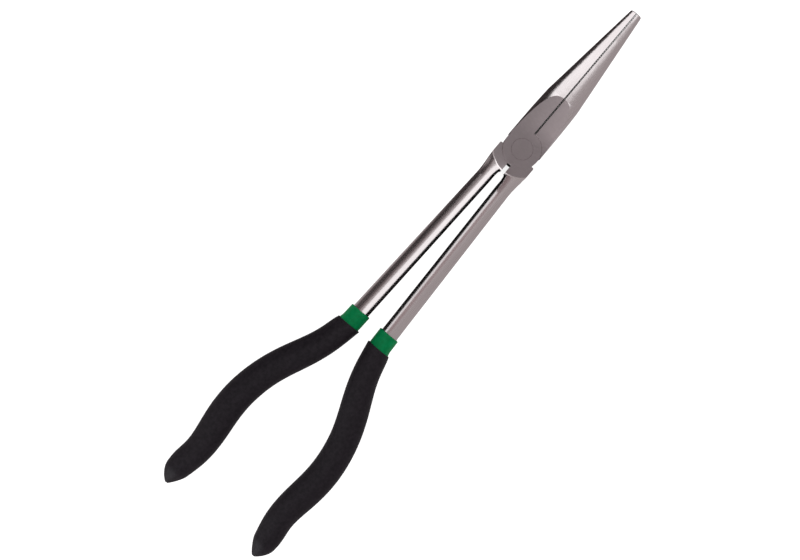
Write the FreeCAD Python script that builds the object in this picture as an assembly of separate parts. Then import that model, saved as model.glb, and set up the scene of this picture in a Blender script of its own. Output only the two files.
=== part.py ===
import FreeCAD, Part
import math
import os

# Long-reach needle nose pliers, closed, lying flat on one face of the joint.
#
# The origin is on the pivot axis, in the underside of the joint. +X runs to the jaw tips,
# +Y is to the left seen from above, and +Z goes through the thickness.
#
# Both levers are one forging: the rear lever is the front lever turned half a turn about the
# X axis at mid thickness. So every piece of the front lever is modelled about mid thickness
# (z = 0 there), with its jaw at +Y and its handle at -Y. As it is written it is lifted into
# place, or turned over and then lifted.

# ---- driving dimensions, mm ----
PIVOT_TO_TIP = 75.6
PIVOT_TO_GRIP_END = 204.4

# joint
JOINT_THICKNESS = 10.0
PLATE_GAP = 0.05             # between the two lapped plates
DISC_RADIUS = 8.25           # round end of each plate
DISC_CLEARANCE = 0.06        # between a disc and the recess in the other lever
EDGE_BREAK = 0.08            # chamfer on the disc, the recess and the rivet rim
JAW_SHOULDER_X = 2.0
HANDLE_SHOULDER_X = -3.1
SHOULDER_ROUNDING = 0.5

# rivet
RIVET_RADIUS = 3.0
RIVET_HEAD_RADIUS = 4.6
RIVET_HEAD_DEPTH = 1.0
RIVET_CLEARANCE = 0.03       # running fit in the rear lever

# jaws: the closed pair is one rounded nose, ground flat top and bottom
NOSE_SQUARENESS = 2.5        # its section, between an ellipse and a rounded rectangle
NOSE_ROOT_HALF_WIDTH = 8.6
NOSE_FLAT_END_X = 27.5       # the nose is as thick as the joint here, and the flats end
NOSE_FLAT_END_HALF_WIDTH = 8.12
NOSE_RISE = 0.24             # rise of the unground nose for each mm behind the flats' end
NOSE_ROOT_RISE = 7.0         # and what it gains over the disc, where its sides stand up
NOSE_WIDTH_POWER = 3         # how late its width falls off towards the flats' end
NOSE_HEIGHT_POWER = 5        # how near the disc the root rises
NOSE_ROOT_STEPS = 8
NOSE_ROOT_CROWDING = 1.6     # its sections stand closer together near the flats' end
TIP_HALF_WIDTH = 2.7
TIP_HALF_HEIGHT = 1.75
TIP_CHAMFER = 0.4

# teeth: grooves on a slant across each bite face, so that the two jaws' grooves cross
BITE_HALF_GAP = 0.025
TOOTH_START_X = 7.4
TOOTH_PITCH = 1.1
TOOTH_DEPTH_ROOT = 0.34
TOOTH_DEPTH_TIP = 0.15
TOOTH_SLANT = 15.0           # degrees

# handle boss behind the disc
BOSS_HALF_WIDTH = 9.1
BOSS_INNER_Y = 0.9           # half the slot in the crotch
BOSS_FLAT_RADIUS = 12.0      # the ground flat ends on this circle about the pivot
BOSS_RIM_RADIUS = 12.5       # where its slope has run down to the handle's root
BOSS_RIM_DROP = 0.5

# the handle's squarish root: x, inner y, outer y, half height, squareness
ROOT_SECTIONS = [(-8.9, -1.0, -9.05, 4.9, 3.0), (-11.4, -1.0, -8.88, 4.65, 2.8),
                 (-13.9, -1.5, -8.62, 4.05, 2.4), (-16.4, -1.66, -8.47, 3.6, 2.1)]

# round shanks, each a slim cone on a straight axis
SHANK_AXIS_Y = 4.36          # distance of the axis from the centreline, carried to x = 0
SHANK_SPLAY = 0.0364         # its rise for each mm towards the grips
SHANK_RADIUS = 3.30          # carried to x = 0
SHANK_SWELL = 0.0061
SHANK_START_X = -18.9        # the root has run into the round here

# dipped handles: green under layer, black outer layer
SLEEVE_START_X = -95.6
GRIP_START_X = -103.1
GREEN_LAYER = 0.9
BLACK_LAYER = 0.7
TANG_END_GAP = 8.0           # black grip beyond the end of the steel
SLEEVE_END_GAP = 6.2
SLEEVE_END_RADIUS = 3.4

GRIP_END_DIRECTION = (-1, 0.1)

SECTION_POINTS = 24
TOUCHING = 0.01


def vector(x, y, z=0.0):
    return FreeCAD.Vector(x, y, z)


# ---- sections and lofts ----

def section(centre, direction, half_width, half_height, squareness=2.0):
    """A closed section square to a direction in the XY plane: an ellipse, or a rounded
    rectangle as squareness grows past 2."""
    across = vector(-direction.y, direction.x)
    power = 2.0 / squareness
    points = []
    for i in range(SECTION_POINTS):
        turn = 2 * math.pi * i / SECTION_POINTS
        wide, high = math.cos(turn), math.sin(turn)
        wide = math.copysign(abs(wide) ** power, wide) * half_width
        high = math.copysign(abs(high) ** power, high) * half_height
        points.append(centre + across * wide + vector(0, 0, high))
    curve = Part.BSplineCurve()
    curve.interpolate(Points=points, PeriodicFlag=True)
    return Part.Wire(curve.toShape())


def loft(sections):
    return Part.makeLoft(sections, True, False)


def prism(points, bottom, top):
    """A polygon in the XY plane, drawn up from bottom to top."""
    corners = [vector(x, y, bottom) for x, y in points]
    face = Part.Face(Part.makePolygon(corners + corners[:1]))
    return face.extrude(vector(0, 0, top - bottom))


def turned(profile):
    """A polygon of (radius, z) points, revolved about the pivot axis."""
    corners = [vector(radius, 0, z) for radius, z in profile]
    face = Part.Face(Part.makePolygon(corners + corners[:1]))
    return face.revolve(vector(0, 0, 0), vector(0, 0, 1), 360)


def rounded_upright_edges(solid, x, y, radius):
    """Round the edges that run along Z through (x, y)."""
    edges = []
    for edge in solid.Edges:
        ends = [vertex.Point for vertex in edge.Vertexes]
        if all(math.hypot(end.x - x, end.y - y) < TOUCHING for end in ends):
            edges.append(edge)
    return solid.makeFillet(radius, edges)


# ---- jaw ----

HALF_THICKNESS = JOINT_THICKNESS / 2


def nose_section(x, chamfer=0.0):
    """The closed pair of jaws at x. Towards the tip it tapers in a straight line. Back from
    the end of the flats it swells in width and height, and the flats cut off its top in a
    round tongue."""
    if x > NOSE_FLAT_END_X:
        along = (x - NOSE_FLAT_END_X) / (PIVOT_TO_TIP - NOSE_FLAT_END_X)
        width = NOSE_FLAT_END_HALF_WIDTH + (TIP_HALF_WIDTH - NOSE_FLAT_END_HALF_WIDTH) * along
        height = HALF_THICKNESS + (TIP_HALF_HEIGHT - HALF_THICKNESS) * along
    else:
        back = NOSE_FLAT_END_X - x
        swell = NOSE_ROOT_HALF_WIDTH - NOSE_FLAT_END_HALF_WIDTH
        width = NOSE_ROOT_HALF_WIDTH - swell * (x / NOSE_FLAT_END_X) ** NOSE_WIDTH_POWER
        height = HALF_THICKNESS + NOSE_RISE * back
        height += NOSE_ROOT_RISE * (back / NOSE_FLAT_END_X) ** NOSE_HEIGHT_POWER
    return section(vector(x, 0), vector(1, 0), width - chamfer, height - chamfer,
                   NOSE_SQUARENESS)


def nose():
    """Both jaws as one solid, before the flats are ground."""
    tip_start = PIVOT_TO_TIP - TIP_CHAMFER
    root = []
    for i in range(NOSE_ROOT_STEPS + 1):
        back = (i / NOSE_ROOT_STEPS) ** NOSE_ROOT_CROWDING
        root.append(nose_section(NOSE_FLAT_END_X * (1 - back)))
    taper = [nose_section(NOSE_FLAT_END_X), nose_section(tip_start)]
    tip = [nose_section(tip_start), nose_section(PIVOT_TO_TIP, TIP_CHAMFER)]
    return loft(root).fuse([loft(taper), loft(tip)])


def bite():
    """What is cut from a jaw's inner side: the half gap and, in the face, the teeth. They
    are drawn up on a slant, about mid thickness. The rest of it stands clear of the jaw."""
    slant = math.tan(math.radians(TOOTH_SLANT)) * JOINT_THICKNESS
    far_side = -2 * NOSE_ROOT_HALF_WIDTH
    far_end = PIVOT_TO_TIP + 2 * slant
    outline = [(far_end, far_side), (0, far_side), (0, BITE_HALF_GAP)]
    x = TOOTH_START_X
    while x < PIVOT_TO_TIP + slant:
        depth = TOOTH_DEPTH_ROOT + (TOOTH_DEPTH_TIP - TOOTH_DEPTH_ROOT) * x / PIVOT_TO_TIP
        outline.append((x, BITE_HALF_GAP))
        outline.append((x + TOOTH_PITCH / 2, BITE_HALF_GAP + depth))
        x += TOOTH_PITCH
    outline += [(x, BITE_HALF_GAP), (far_end, BITE_HALF_GAP)]
    corners = [vector(x - slant, y, -JOINT_THICKNESS) for x, y in outline]
    face = Part.Face(Part.makePolygon(corners + corners[:1]))
    return face.extrude(vector(2 * slant, 0, 2 * JOINT_THICKNESS))


def jaw():
    length = PIVOT_TO_TIP - JAW_SHOULDER_X
    slab = Part.makeBox(length, NOSE_ROOT_HALF_WIDTH * 2, JOINT_THICKNESS,
                        vector(JAW_SHOULDER_X, 0, -HALF_THICKNESS))
    return nose().common(slab).cut(bite())


# ---- handle ----

def shank_axis(x):
    """A point on the front lever's shank axis."""
    return vector(x, -(SHANK_AXIS_Y - SHANK_SPLAY * x))


def shank_radius(x):
    return SHANK_RADIUS - SHANK_SWELL * x


SHANK_DIRECTION = (shank_axis(-1) - shank_axis(0)).normalize()


def grip_line():
    """The axis of the front lever's grip: out to the palm swell, in to the waist, and out
    again to the end."""
    bends = [(-110.7, 9.85), (-119.7, 12.8), (-129.7, 17.2), (-140.7, 21.55),
             (-150.4, 23.8), (-160.7, 24.6), (-172.4, 23.6), (-182.9, 22.65),
             (-192.7, 23.6), (-PIVOT_TO_GRIP_END, 24.0)]
    points = [shank_axis(GRIP_START_X)] + [vector(x, -y) for x, y in bends]
    curve = Part.BSplineCurve()
    curve.interpolate(Points=points, InitialTangent=SHANK_DIRECTION,
                      FinalTangent=vector(*GRIP_END_DIRECTION))
    return curve


GRIP_LINE = grip_line()
GRIP_LENGTH = GRIP_LINE.length()

# outside of the black grip, evenly spaced from its front to where the drip starts:
# half width, half thickness
FRONT_RADIUS = shank_radius(GRIP_START_X) + GREEN_LAYER + BLACK_LAYER
GRIP_SIZES = [(FRONT_RADIUS, FRONT_RADIUS), (5.9, 5.55), (6.2, 5.6), (6.45, 5.6), (6.5, 5.6),
              (6.6, 5.6), (6.7, 5.6), (6.75, 5.6), (6.5, 5.6), (6.1, 5.5), (5.45, 5.3)]
# the drip, evenly spaced from there to the tip: radius both ways
DRIP_RADII = [5.0, 4.0, 2.6, 0.7]
DRIP_START = GRIP_LENGTH - TANG_END_GAP


def along_grip(distance, half_width, half_thickness):
    at = GRIP_LINE.parameterAtDistance(distance, GRIP_LINE.FirstParameter)
    direction = GRIP_LINE.tangent(at)[0]
    return section(GRIP_LINE.value(at), direction, half_width, half_thickness)


def grip_sections(bare=0.0):
    """The handle from the front of the black grip to the start of the drip: the outside of
    the grip or, with a bare depth, what lies that far under it."""
    step = DRIP_START / (len(GRIP_SIZES) - 1)
    return [along_grip(step * i, half_width - bare, half_thickness - bare)
            for i, (half_width, half_thickness) in enumerate(GRIP_SIZES)]


def shank_section(x, layer=0.0):
    radius = shank_radius(x) + layer
    return section(shank_axis(x), SHANK_DIRECTION, radius, radius)


def rod():
    """The handle in steel: a squarish root in the boss, the round shank, and the tang in
    the grip."""
    root = []
    for x, inner, outer, half_height, squareness in ROOT_SECTIONS:
        root.append(section(vector(x, (inner + outer) / 2), SHANK_DIRECTION,
                            (inner - outer) / 2, half_height, squareness))
    root.append(shank_section(SHANK_START_X))
    shank = [shank_section(SHANK_START_X), shank_section(GRIP_START_X)]
    return loft(root).fuse([loft(shank), loft(grip_sections(GREEN_LAYER + BLACK_LAYER))])


def boss():
    """The flat ground block behind the disc, beside the slot of the crotch."""
    outline = [(HANDLE_SHOULDER_X, -BOSS_INNER_Y), (HANDLE_SHOULDER_X, -BOSS_HALF_WIDTH),
               (-BOSS_RIM_RADIUS, -BOSS_HALF_WIDTH), (-BOSS_RIM_RADIUS, -BOSS_INNER_Y)]
    block = prism(outline, -HALF_THICKNESS, HALF_THICKNESS)
    block = rounded_upright_edges(block, HANDLE_SHOULDER_X, -BOSS_HALF_WIDTH,
                                  SHOULDER_ROUNDING)
    low = HALF_THICKNESS - BOSS_RIM_DROP
    return block.common(turned([
        (0, -HALF_THICKNESS), (BOSS_FLAT_RADIUS, -HALF_THICKNESS), (BOSS_RIM_RADIUS, -low),
        (BOSS_RIM_RADIUS, low), (BOSS_FLAT_RADIUS, HALF_THICKNESS), (0, HALF_THICKNESS)]))


# ---- joint ----

def disc():
    """The front lever's half of the lap, above mid thickness."""
    return turned([(0, PLATE_GAP / 2), (DISC_RADIUS, PLATE_GAP / 2),
                   (DISC_RADIUS, HALF_THICKNESS - EDGE_BREAK),
                   (DISC_RADIUS - EDGE_BREAK, HALF_THICKNESS), (0, HALF_THICKNESS)])


def recess():
    """The room for the other lever's disc, below mid thickness."""
    radius = DISC_RADIUS + DISC_CLEARANCE
    return turned([(0, PLATE_GAP / 2), (radius, PLATE_GAP / 2),
                   (radius, EDGE_BREAK - HALF_THICKNESS),
                   (radius + EDGE_BREAK, -HALF_THICKNESS), (0, -HALF_THICKNESS)])


def rivet_shape(clearance=0.0, rim=0.0):
    """The rivet's outline or, with a clearance, the hole that it runs in. The rim of a head
    is broken inwards, and the rim of a hole outwards."""
    shaft = RIVET_RADIUS + clearance
    head = RIVET_HEAD_RADIUS + clearance
    seat = HALF_THICKNESS - RIVET_HEAD_DEPTH - clearance
    neck = HALF_THICKNESS - EDGE_BREAK
    return turned([
        (0, -HALF_THICKNESS), (head + rim, -HALF_THICKNESS), (head, -neck), (shaft, -seat),
        (shaft, seat), (head, neck), (head + rim, HALF_THICKNESS), (0, HALF_THICKNESS)])


def lever(rivet_clearance):
    front = jaw().cut(recess()).fuse(disc())
    back = boss().fuse(rod()).cut(recess())
    return front.fuse(back).cut(rivet_shape(rivet_clearance, EDGE_BREAK))


def sleeve_outside():
    """The under layer from its front edge to its closed end."""
    collar = [shank_section(SLEEVE_START_X, GREEN_LAYER),
              shank_section(GRIP_START_X, GREEN_LAYER)]
    covered = grip_sections(BLACK_LAYER)
    closing = [covered[-1], along_grip(GRIP_LENGTH - SLEEVE_END_GAP, SLEEVE_END_RADIUS,
                                       SLEEVE_END_RADIUS)]
    return loft(collar).fuse([loft(covered), loft(closing)])


def grip_outside():
    step = TANG_END_GAP / len(DRIP_RADII)
    covered = grip_sections()
    drip = [along_grip(DRIP_START + step * (i + 1), radius, radius)
            for i, radius in enumerate(DRIP_RADII)]
    return loft(covered).fuse(loft([covered[-1]] + drip))


# ---- placing and writing ----

LIFT = vector(0, 0, HALF_THICKNESS)


def lifted(shape):
    """A piece of the front lever, in place."""
    placed = shape.copy()
    placed.translate(LIFT)
    return placed


def turned_over(shape):
    """The same piece on the rear lever."""
    placed = shape.copy()
    placed.rotate(vector(0, 0, 0), vector(1, 0, 0), 180)
    placed.translate(LIFT)
    return placed


def main():
    front_steel = lever(0.0)
    rear_steel = lever(RIVET_CLEARANCE)
    under_layer = sleeve_outside()
    sleeve = under_layer.cut(front_steel)
    grip = grip_outside().cut(under_layer)
    nodes = {
        "front_lever": lifted(front_steel),
        "rear_lever": turned_over(rear_steel),
        "pivot_rivet": lifted(rivet_shape(0.0, -EDGE_BREAK)),
        "front_under_sleeve": lifted(sleeve),
        "rear_under_sleeve": turned_over(sleeve),
        "front_grip": lifted(grip),
        "rear_grip": turned_over(grip),
    }
    os.makedirs("parts", exist_ok=True)
    for name, shape in nodes.items():
        solids = shape.Solids
        if len(solids) != 1 or not shape.isValid():
            raise SystemExit(f"{name}: {len(solids)} solids, valid {shape.isValid()}")
        solids[0].exportStep(f"parts/{name}.step")
        box = shape.optimalBoundingBox()
        print(f"{name}: {shape.Volume:.0f} mm3, x {box.XMin:.2f} {box.XMax:.2f}, "
              f"y {box.YMin:.2f} {box.YMax:.2f}, z {box.ZMin:.2f} {box.ZMax:.2f}")


main()
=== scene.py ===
import math

import bmesh
import bpy
from mathutils import Matrix, Vector
from mathutils.bvhtree import BVHTree


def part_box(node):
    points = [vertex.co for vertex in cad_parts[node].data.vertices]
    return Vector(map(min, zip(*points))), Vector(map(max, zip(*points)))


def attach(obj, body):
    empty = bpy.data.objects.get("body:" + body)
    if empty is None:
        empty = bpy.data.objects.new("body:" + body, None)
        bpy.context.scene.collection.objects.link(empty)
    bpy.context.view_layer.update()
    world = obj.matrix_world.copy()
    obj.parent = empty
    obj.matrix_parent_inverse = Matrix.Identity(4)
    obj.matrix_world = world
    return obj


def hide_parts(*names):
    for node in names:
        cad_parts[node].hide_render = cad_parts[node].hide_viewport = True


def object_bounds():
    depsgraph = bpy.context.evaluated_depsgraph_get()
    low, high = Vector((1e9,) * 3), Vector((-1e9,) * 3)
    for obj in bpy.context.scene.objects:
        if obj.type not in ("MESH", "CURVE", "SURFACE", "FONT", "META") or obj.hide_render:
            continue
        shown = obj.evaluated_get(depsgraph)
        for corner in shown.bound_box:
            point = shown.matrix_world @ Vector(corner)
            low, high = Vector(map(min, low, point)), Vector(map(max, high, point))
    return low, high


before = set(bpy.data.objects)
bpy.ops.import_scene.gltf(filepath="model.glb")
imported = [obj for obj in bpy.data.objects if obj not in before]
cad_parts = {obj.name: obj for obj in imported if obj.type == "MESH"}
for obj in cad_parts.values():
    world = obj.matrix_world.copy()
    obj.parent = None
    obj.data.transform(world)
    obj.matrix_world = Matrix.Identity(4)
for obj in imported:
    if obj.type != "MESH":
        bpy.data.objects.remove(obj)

cad_low, cad_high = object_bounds()

# ---- Camera ----
# It looks straight down on the closed pliers, turned so that the jaws point up to the
# right, from far enough away that the joint shows only a sliver of its side walls.

MM = 0.001
VIEW_CENTRE = Vector((-75.1, 3.7, 5.0)) * MM
VIEW_WIDTH = 338.9 * MM
VIEW_HEIGHT = 600 * MM
VIEW_TURN = math.radians(-49.77)
SENSOR_WIDTH = 36.0

camera_data = bpy.data.cameras.new("camera")
camera_data.sensor_width = SENSOR_WIDTH
camera_data.lens = SENSOR_WIDTH * VIEW_HEIGHT / VIEW_WIDTH
camera_data.clip_start = 0.01
camera_data.clip_end = 20.0
camera = bpy.data.objects.new("camera", camera_data)
camera.location = VIEW_CENTRE + Vector((0, 0, VIEW_HEIGHT))
camera.rotation_euler = (0, 0, VIEW_TURN)
bpy.context.scene.collection.objects.link(camera)
bpy.context.scene.camera = camera

# ---- Table and studio ----
# The tool lies on a broad white table under one large soft overhead light. Bright and dark
# boards stand around it, out of the camera's sight, and only the steel mirrors them.

TABLE_TOP = cad_low.z
TABLE_SIZE = 8.0
TABLE_PAINT = (0.9, 0.9, 0.9, 1)
TABLE_GLOW = 0.78
ROOM_COLOUR = (1, 0.957, 0.957, 1)
ROOM_BRIGHTNESS = 0.515
OVERHEAD_SIZE = 1.6
OVERHEAD_POWER = 8.0
OVERHEAD_HEIGHT = 1.5
OVERHEAD_X = cad_low.x / 3   # about the middle of the tool
WHITE_CARD = (0.94, 0.985, 0.985, 1)
DARK_CARD = (1.0, 0.82, 0.83, 1)


def new_material(name):
    """A material with only its output, and its node tree."""
    material = bpy.data.materials.new(name)
    material.use_nodes = True
    tree = material.node_tree
    tree.nodes.clear()
    tree.nodes.new("ShaderNodeOutputMaterial")
    return material, tree


def node(tree, kind, settings=(), **inputs):
    """A shader node with its settings and inputs. An input is a value or another socket,
    and is named, or numbered as in _0."""
    made = tree.nodes.new("ShaderNode" + kind)
    for name, value in dict(settings).items():
        setattr(made, name, value)
    for name, value in inputs.items():
        key = int(name[1:]) if name[1:].isdigit() else name.replace("_", " ")
        if isinstance(value, bpy.types.NodeSocket):
            tree.links.new(value, made.inputs[key])
        else:
            made.inputs[key].default_value = value
    return made


def into_output(tree, socket):
    tree.links.new(socket, tree.nodes["Material Output"].inputs["Surface"])


def put_in_order(parts, order):
    """The operators leave a shape's vertices and faces in any order. This fixes it, so that
    the mesh is the same each time."""
    for index, part in enumerate(sorted(parts, key=order)):
        part.index = index
    parts.sort()


def finish_mesh(shape, name, material):
    """Turn a bmesh into an object at the origin with one material."""
    put_in_order(shape.verts, lambda vert: vert.co[:])
    put_in_order(shape.faces, lambda face: sorted(vert.index for vert in face.verts))
    mesh = bpy.data.meshes.new(name)
    shape.to_mesh(mesh)
    shape.free()
    mesh.materials.append(material)
    piece = bpy.data.objects.new(name, mesh)
    bpy.context.scene.collection.objects.link(piece)
    return piece


def board(name, brightness, corner, along, up):
    """A flat board, in mm from one corner along two sides, white or, if it is dim, a warm
    grey. Only mirrors see it: it lights nothing and the camera misses it."""
    material, tree = new_material(name)
    colour = WHITE_CARD if brightness > 1 else DARK_CARD
    glow = node(tree, "Emission", Color=colour, Strength=brightness)
    into_output(tree, glow.outputs["Emission"])
    corner, along, up = (Vector(side) * MM for side in (corner, along, up))
    shape = bmesh.new()
    start = shape.verts.new(corner)
    swept = bmesh.ops.extrude_vert_indiv(shape, verts=[start])
    bmesh.ops.translate(shape, vec=along, verts=swept["verts"])
    swept = bmesh.ops.extrude_edge_only(shape, edges=swept["edges"])
    top = [part for part in swept["geom"] if isinstance(part, bmesh.types.BMVert)]
    bmesh.ops.translate(shape, vec=up, verts=top)
    piece = finish_mesh(shape, name, material)
    piece.visible_camera = False
    piece.visible_diffuse = False
    piece.visible_shadow = False


table_white, tree = new_material("table_white")
paint = node(tree, "BsdfDiffuse", Color=TABLE_PAINT)
glow = node(tree, "Emission", Strength=TABLE_GLOW)
lit = node(tree, "AddShader", _0=paint.outputs["BSDF"], _1=glow.outputs["Emission"])
into_output(tree, lit.outputs["Shader"])
shape = bmesh.new()
bmesh.ops.create_grid(shape, x_segments=1, y_segments=1, size=TABLE_SIZE / 2)
bmesh.ops.translate(shape, vec=(0, 0, TABLE_TOP), verts=shape.verts)
table = finish_mesh(shape, "table", table_white)
table.visible_glossy = False

world = bpy.data.worlds.new("studio")
world.use_nodes = True
room = world.node_tree.nodes["Background"].inputs
room["Color"].default_value = ROOM_COLOUR
room["Strength"].default_value = ROOM_BRIGHTNESS
bpy.context.scene.world = world
bpy.context.scene.view_settings.view_transform = "Standard"

overhead_data = bpy.data.lights.new("overhead", "AREA")
overhead_data.shape = "SQUARE"
overhead_data.size = OVERHEAD_SIZE
overhead_data.energy = OVERHEAD_POWER
overhead = bpy.data.objects.new("overhead", overhead_data)
overhead.location = (OVERHEAD_X, 0, OVERHEAD_HEIGHT)
overhead.visible_glossy = False
bpy.context.scene.collection.objects.link(overhead)

# a softbox over the jaws' left side, with its near edge and its low end
SOFTBOX = 1.72
board("jaw_softbox", SOFTBOX, (92, 0, 330), (290, 0, 0), (0, 350, -75))
board("jaw_softbox_edge", SOFTBOX, (92, -5, 329), (290, -232, 0), (0, 240, 0))
board("jaw_softbox_end", SOFTBOX, (382, -20, 330), (200, 0, -300), (0, 370, -75))

# black flags past the softbox's far side and low down
JAW_FLAG_X = -20
JAW_FLAG_LENGTH = (700, 0, 0)
board("jaw_flag", 0.03, (JAW_FLAG_X, 351, 255), JAW_FLAG_LENGTH, (0, 180, -455))
board("jaw_flag_low", 0.05, (JAW_FLAG_X, 30, -200), JAW_FLAG_LENGTH, (0, 501, 0))

# a bright card behind the joint, which the sloping rim of the handles' bosses mirrors
board("rim_card", 2.2, (-400, -60, -10), (0, 330, 0), (0, 0, 330))

# dark flags over the left shank's outer side and down beside it
SHANK_FLAG_X = -130
SHANK_FLAG_LENGTH = (134, 0, 0)
board("shank_flag_near", 0.18, (SHANK_FLAG_X, 40, 120), SHANK_FLAG_LENGTH, (0, 60, 0))
board("shank_flag", 0.04, (SHANK_FLAG_X, 100, 120), SHANK_FLAG_LENGTH, (0, 365, 0))
board("shank_flag_low", 0.05, (SHANK_FLAG_X, 465, -60), SHANK_FLAG_LENGTH, (0, 0, 180))
board("shank_flag_foot", 0.25, (SHANK_FLAG_X, 465, -150), SHANK_FLAG_LENGTH, (0, 0, 90))

# between the shanks a slip of card, white on the left and grey on the right, with a black foot
SLIP_X = -97
SLIP_LENGTH = (88, 0, -1.2)
SHORT_SLIP_LENGTH = (77, 0, -1.2)
board("left_slip", 1.65, (SLIP_X, 0.3, 9.5), SLIP_LENGTH, (0, 0, 40.5))
board("right_slip_high", 0.42, (SLIP_X, -0.3, 13.5), SHORT_SLIP_LENGTH, (0, 0, 36.5))
board("right_slip_low", 1.25, (SLIP_X, -0.3, 9.5), SHORT_SLIP_LENGTH, (0, 0, 4))
board("right_slip_end", 0.3, (-20, -0.3, 8.5), (11, 0, 0), (0, 0, 41.5))
board("slip_foot", 0.0, (SLIP_X, 0, -3), SLIP_LENGTH, (0, 0, 12.5))

# a black slip under the joint, which the walls of its crotch and shoulders mirror
board("joint_slip", 0.0, (-14, -9.5, -1), (16, 0, 0), (0, 19, 0))

# ---- Levers ----
# Two drop-forged steel levers, nickel plated and polished lengthways. The joint's two faces
# are ground flat afterwards, and the teeth are cut, so both are greyer and duller. Painted
# light makes the ground faces paler towards the jaws and the right, and painted shade darkens
# the edges of the bite and the faces beside the slit.

GROUND_DEPTH = 0.02 * MM                 # a ground face is known by its height
BITE_START_X = 8.3 * MM
BITE_DEPTH = (0.38 * MM, 0.32 * MM)      # down to past the teeth, at the start and the tip, which also sets the width of the painted shade beside the slit
FLATS_END_X = 27.5 * MM
BITE_HALF_HEIGHT = (5.0 * MM, 1.75 * MM)  # where the flats end, and at the tip
# how far in from the bite's top and bottom edges the slit's shade is painted
SLIT_SHADE_DEPTH = 0.7 * MM
PAINTED_LIGHT_X = (5 * MM, 13 * MM)          # painted light: the ground faces are painted paler towards the jaws
PAINTED_LIGHT_Y = (6 * MM, -6 * MM)        # and towards the right
PAINTED_LIGHT_SPAN = (0.24, 1.0)
POLISHED = (0.60, 0.535, 0.54, 1)
POLISHED_THIN = (0.565, 0.50, 0.505, 1)
GROUND = (0.28, 0.236, 0.243, 1)
# the ground faces' colour, and the same painted lighter, for the painted light towards the
# right jaw
GROUND_PAINTED_LIT = (0.43, 0.362, 0.372, 1)
TOOTHED = (0.19, 0.16, 0.165, 1)
# near black: random streaks of dirt in the grinding, and the painted shade along the slit
GRIME_AND_SLIT_SHADE = (0.015, 0.013, 0.013, 1)
GRINDING_TURN = math.radians(12)
GRIMY_STREAKS = (0.0, 0.15)
POLISHED_ROUGHNESS = (0.24, 0.29)
GROUND_ROUGHNESS = (0.38, 0.50)
CLOUDY = (0.35, 0.65)                    # the middle of a soft noise
GRAINY = (0.3, 0.7)                      # and of a fine one
joint_low, joint_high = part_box("pivot_rivet")
mid_z = (joint_low.z + joint_high.z) / 2
jaw_tip_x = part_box("front_lever")[1].x


def maths(tree, operation, first, second=0.0):
    """Arithmetic on one or two values."""
    made = node(tree, "Math", {"operation": operation}, _0=first, _1=second)
    return made.outputs[0]


def blend(tree, share, first, second):
    """Between two values by a share from 0 to 1."""
    made = node(tree, "Mix", {"data_type": "FLOAT"}, _0=share, _2=first, _3=second)
    return made.outputs[0]


def blend_colours(tree, share, first, second):
    made = node(tree, "Mix", {"data_type": "RGBA"}, _0=share, _6=first, _7=second)
    return made.outputs[2]


def grain(tree, scale, stretch=(1, 1, 1), detail=2.0, turn=0.0):
    """A fine noise from 0 to 1 on the piece itself. Scale is in features per mm, and a
    stretch makes it streaks."""
    place = node(tree, "TexCoord")
    laid = node(tree, "Mapping", Vector=place.outputs["Object"], Rotation=(0, 0, turn),
                Scale=[scale / MM / side for side in stretch])
    noise = node(tree, "TexNoise", Vector=laid.outputs["Vector"], Scale=1.0, Detail=detail,
                 Roughness=0.55)
    return noise.outputs["Fac"]


def spread(tree, value, low, high, to_low=0.0, to_high=1.0):
    """Stretch the middle of a noise to a range."""
    made = node(tree, "MapRange", Value=value, From_Min=low, From_Max=high, To_Min=to_low,
                To_Max=to_high)
    return made.outputs["Result"]


def grinding_marks(tree):
    return grain(tree, 5.0, (1, 14, 1), turn=GRINDING_TURN)


def ground_share(tree, place):
    """1 on the two ground faces of the joint, and 0 elsewhere."""
    above = maths(tree, "GREATER_THAN", place["Z"], joint_high.z - GROUND_DEPTH)
    below = maths(tree, "LESS_THAN", place["Z"], joint_low.z + GROUND_DEPTH)
    return maths(tree, "MAXIMUM", above, below)


def ground_colour(tree, place, grinding):
    """Painted light: darkest on the joint and palest on the right jaw, with dark streaks along
    the grinding.
    """
    towards_jaws = spread(tree, place["X"], *PAINTED_LIGHT_X)
    towards_right = spread(tree, place["Y"], *PAINTED_LIGHT_Y, *PAINTED_LIGHT_SPAN)
    share = maths(tree, "MULTIPLY", towards_jaws, towards_right)
    shade = blend_colours(tree, share, GROUND, GROUND_PAINTED_LIT)
    return blend_colours(tree, spread(tree, grinding, *GRAINY, *GRIMY_STREAKS), shade, GRIME_AND_SLIT_SHADE)


def bite_share(tree, place):
    """1 on the toothed bite faces, and 0 elsewhere."""
    reach = spread(tree, place["X"], BITE_START_X, jaw_tip_x, *BITE_DEPTH)
    near = maths(tree, "LESS_THAN", maths(tree, "ABSOLUTE", place["Y"]), reach)
    ahead = maths(tree, "GREATER_THAN", place["X"], BITE_START_X)
    return maths(tree, "MULTIPLY", near, ahead)


def slit_shade_share(tree, place, bite):
    """1 along the bite's upper and lower edges and on the faces beside the slit, where the
    slit's shade is painted, and 0 elsewhere.
    """
    unshaded = [half_height - SLIT_SHADE_DEPTH for half_height in BITE_HALF_HEIGHT]
    edge = spread(tree, place["X"], FLATS_END_X, jaw_tip_x, *unshaded)
    height = maths(tree, "ABSOLUTE", maths(tree, "SUBTRACT", place["Z"], mid_z))
    return maths(tree, "MULTIPLY", bite, maths(tree, "GREATER_THAN", height, edge))


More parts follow.
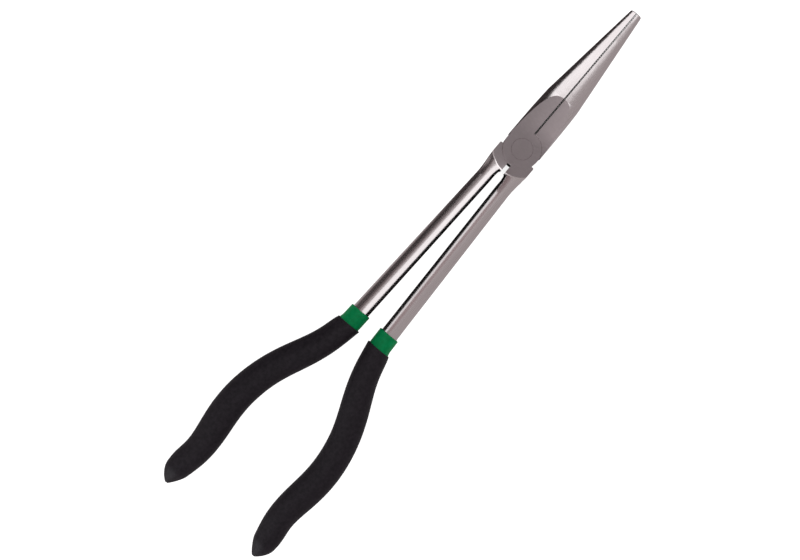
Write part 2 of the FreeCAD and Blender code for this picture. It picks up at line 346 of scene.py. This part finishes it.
def plated_steel():
    material, tree = new_material("plated_steel")
    laid = node(tree, "TexCoord").outputs["Object"]
    place = node(tree, "SeparateXYZ", Vector=laid).outputs
    flat = ground_share(tree, place)
    bite = bite_share(tree, place)
    cut = maths(tree, "MAXIMUM", flat, bite)
    polish = grain(tree, 3.0, (60, 1, 1))
    cloud = grain(tree, 0.12, (4, 1, 1))
    grinding = grinding_marks(tree)

    bright = blend_colours(tree, spread(tree, cloud, *CLOUDY), POLISHED, POLISHED_THIN)
    smooth = blend_colours(tree, flat, bright, ground_colour(tree, place, grinding))
    unshaded = blend_colours(tree, bite, smooth, TOOTHED)
    # painted shade: the slit between the jaws is darkened by painting its edges near black
    colour = blend_colours(tree, slit_shade_share(tree, place, bite), unshaded, GRIME_AND_SLIT_SHADE)
    shine = spread(tree, polish, *GRAINY, *POLISHED_ROUGHNESS)
    matt = spread(tree, grinding, *GRAINY, *GROUND_ROUGHNESS)
    roughness = blend(tree, cut, shine, matt)
    lines = blend(tree, cut, polish, grinding)
    relief = node(tree, "Bump", Strength=0.012, Distance=0.02 * MM, Height=lines)
    steel = node(tree, "BsdfPrincipled", Base_Color=colour, Metallic=1.0,
                 Roughness=roughness, Normal=relief.outputs["Normal"])
    into_output(tree, steel.outputs["BSDF"])
    return material


steel = plated_steel()
for name in ("front_lever", "rear_lever"):
    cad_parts[name].material_slots[0].material = steel

# ---- Pivot rivet ----
# One steel rivet, its two heads swaged into the levers and ground off flush with the joint,
# so that only a hairline ring shows on each side.

RIVET_STREAKS = (0.0, 0.12)
RIVET_ROUGHNESS = (0.36, 0.48)


def rivet_steel():
    material, tree = new_material("rivet_steel")
    grinding = grinding_marks(tree)
    streaks = spread(tree, grinding, *GRAINY, *RIVET_STREAKS)
    colour = blend_colours(tree, streaks, GROUND, GRIME_AND_SLIT_SHADE)
    matt = spread(tree, grinding, *GRAINY, *RIVET_ROUGHNESS)
    relief = node(tree, "Bump", Strength=0.06, Distance=0.02 * MM, Height=grinding)
    steel = node(tree, "BsdfPrincipled", Base_Color=colour, Metallic=1.0, Roughness=matt,
                 Normal=relief.outputs["Normal"])
    into_output(tree, steel.outputs["BSDF"])
    return material


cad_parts["pivot_rivet"].material_slots[0].material = rivet_steel()

# ---- Green under sleeves ----
# The first dip of each handle, a smooth green vinyl about a millimetre thick, cured on the
# steel. Only its front collar stays in sight, and the black dip covers the rest.

RING_POINTS = 48
LIP_RINGS = 4
REACH = 100 * MM             # rays start this far out, clear of the tool
HAIR = 0.01 * MM
FRONT_SLANT = 0.3 * MM       # the CAD layer's front edge is square to the shank, not to X
SLEEVE_RINGS = 60
SLEEVE_LIP = 0.3 * MM
GREEN = (0.0, 0.165, 0.049, 1)
PALE_GREEN = (0.0, 0.200, 0.063, 1)
GREEN_ROUGHNESS = (0.36, 0.46)


def feeler(node_name):
    """A CAD piece as something to feel for with rays."""
    shape = bmesh.new()
    shape.from_mesh(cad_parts[node_name].data)
    tree = BVHTree.FromBMesh(shape)
    shape.free()
    return tree


def outline(felt, x):
    """How a CAD piece of one handle is cut at x: the middle of its cross-section, and its
    half width along Y and half height along Z."""
    left = felt.ray_cast(Vector((x, REACH, mid_z)), Vector((0, -1, 0)))[0]
    right = felt.ray_cast(Vector((x, -REACH, mid_z)), Vector((0, 1, 0)))[0]
    y = (left.y + right.y) / 2
    top = felt.ray_cast(Vector((x, y, REACH)), Vector((0, 0, -1)))[0]
    return Vector((x, y, mid_z)), (left.y - right.y) / 2, top.z - mid_z


def ring_matrix(x, felt, inset=0.0, at=None):
    """Lays a unit circle at x, on the handle's cross-section there or at another x, or a
    little inside it."""
    middle, half_width, half_height = outline(felt, x if at is None else at)
    middle.x = x
    size = Matrix.Diagonal((half_height - inset, half_width - inset, 1.0, 1.0))
    upright = Matrix.Rotation(math.radians(90), 4, "Y")
    return Matrix.Translation(middle) @ upright @ size


def sweep_rings(matrices):
    """One closed skin through a row of rings, each a unit circle laid by its matrix."""
    shape = bmesh.new()
    bmesh.ops.create_circle(shape, cap_ends=True, segments=RING_POINTS, radius=1.0)
    bmesh.ops.transform(shape, matrix=matrices[0], verts=shape.verts)
    rim = shape.edges[:]
    for before, after in zip(matrices, matrices[1:]):
        swept = bmesh.ops.extrude_edge_only(shape, edges=rim)["geom"]
        verts = [part for part in swept if isinstance(part, bmesh.types.BMVert)]
        bmesh.ops.transform(shape, matrix=after @ before.inverted(), verts=verts)
        rim = [part for part in swept if isinstance(part, bmesh.types.BMEdge)
               and all(vert in verts for vert in part.verts)]
    bmesh.ops.contextual_create(shape, geom=rim)
    bmesh.ops.recalc_face_normals(shape, faces=shape.faces)
    for face in shape.faces:
        face.smooth = len(face.verts) == 4
    return shape


def dipped_layer(name, node_name, core_name, lip, rings, material):
    """A dipped layer as a closed shell: its outside from the drip to the front, the rounded
    lip there, and its inside back along what it covers."""
    low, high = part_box(node_name)
    core_low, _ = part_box(core_name)
    skin, core = feeler(node_name), feeler(core_name)
    front, start = high.x - FRONT_SLANT, low.x + HAIR
    outside = []
    for i in range(rings + 1):
        share = 1 - math.cos(math.pi / 2 * i / rings)
        outside.append(ring_matrix(start + (front - lip - start) * share, skin))
    edge = []
    for i in range(1, LIP_RINGS + 1):
        turn = math.pi / 2 * i / LIP_RINGS
        x = front - lip * (1 - math.sin(turn))
        edge.append(ring_matrix(x, skin, lip * (1 - math.cos(turn)), front - lip))
    inside = []
    for i in range(rings + 1):
        share = math.sin(math.pi / 2 * i / rings)
        inside.append(ring_matrix(front - (front - core_low.x - HAIR) * share, core, -HAIR))
    shape = sweep_rings(outside + edge + inside)
    piece = finish_mesh(shape, name, material)
    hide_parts(node_name)
    return piece


def green_vinyl():
    material, tree = new_material("green_vinyl")
    cloud = grain(tree, 0.5)
    fine = grain(tree, 6.0)
    colour = blend_colours(tree, spread(tree, cloud, *CLOUDY), GREEN, PALE_GREEN)
    sheen = spread(tree, cloud, *CLOUDY, *GREEN_ROUGHNESS)
    relief = node(tree, "Bump", Strength=0.15, Distance=0.03 * MM, Height=fine)
    vinyl = node(tree, "BsdfPrincipled", Base_Color=colour, Roughness=sheen,
                 Specular_IOR_Level=0.07, Normal=relief.outputs["Normal"])
    into_output(tree, vinyl.outputs["BSDF"])
    return material


green = green_vinyl()
for half in ("front", "rear"):
    sleeve = dipped_layer(half + "_green_sleeve", half + "_under_sleeve", half + "_lever",
                          SLEEVE_LIP, SLEEVE_RINGS, green)
    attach(sleeve, half + "_half")

# ---- Black grips ----
# The second dip, a black vinyl with a fine matt skin. It ends in a lip over the green
# collar, and past the end of the steel it hangs on as a solid blunt drip.

GRIP_RINGS = 90
GRIP_LIP = 0.22 * MM
BLACK = (0.0035, 0.0012, 0.0040, 1)
WORN_BLACK = (0.0095, 0.0058, 0.0100, 1)
BLACK_ROUGHNESS = (0.50, 0.66)


def black_vinyl():
    material, tree = new_material("black_vinyl")
    mottle = grain(tree, 0.7, detail=3.0)
    pores = grain(tree, 2.5, detail=4.0)
    colour = blend_colours(tree, spread(tree, mottle, *CLOUDY), BLACK, WORN_BLACK)
    skin = spread(tree, pores, *GRAINY, *BLACK_ROUGHNESS)
    relief = node(tree, "Bump", Strength=0.6, Distance=0.08 * MM, Height=pores)
    vinyl = node(tree, "BsdfPrincipled", Base_Color=colour, Roughness=skin,
                 Specular_IOR_Level=0.25, Normal=relief.outputs["Normal"])
    into_output(tree, vinyl.outputs["BSDF"])
    return material


black = black_vinyl()
for half in ("front", "rear"):
    grip = dipped_layer(half + "_black_grip", half + "_grip", half + "_under_sleeve",
                        GRIP_LIP, GRIP_RINGS, black)
    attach(grip, half + "_half")
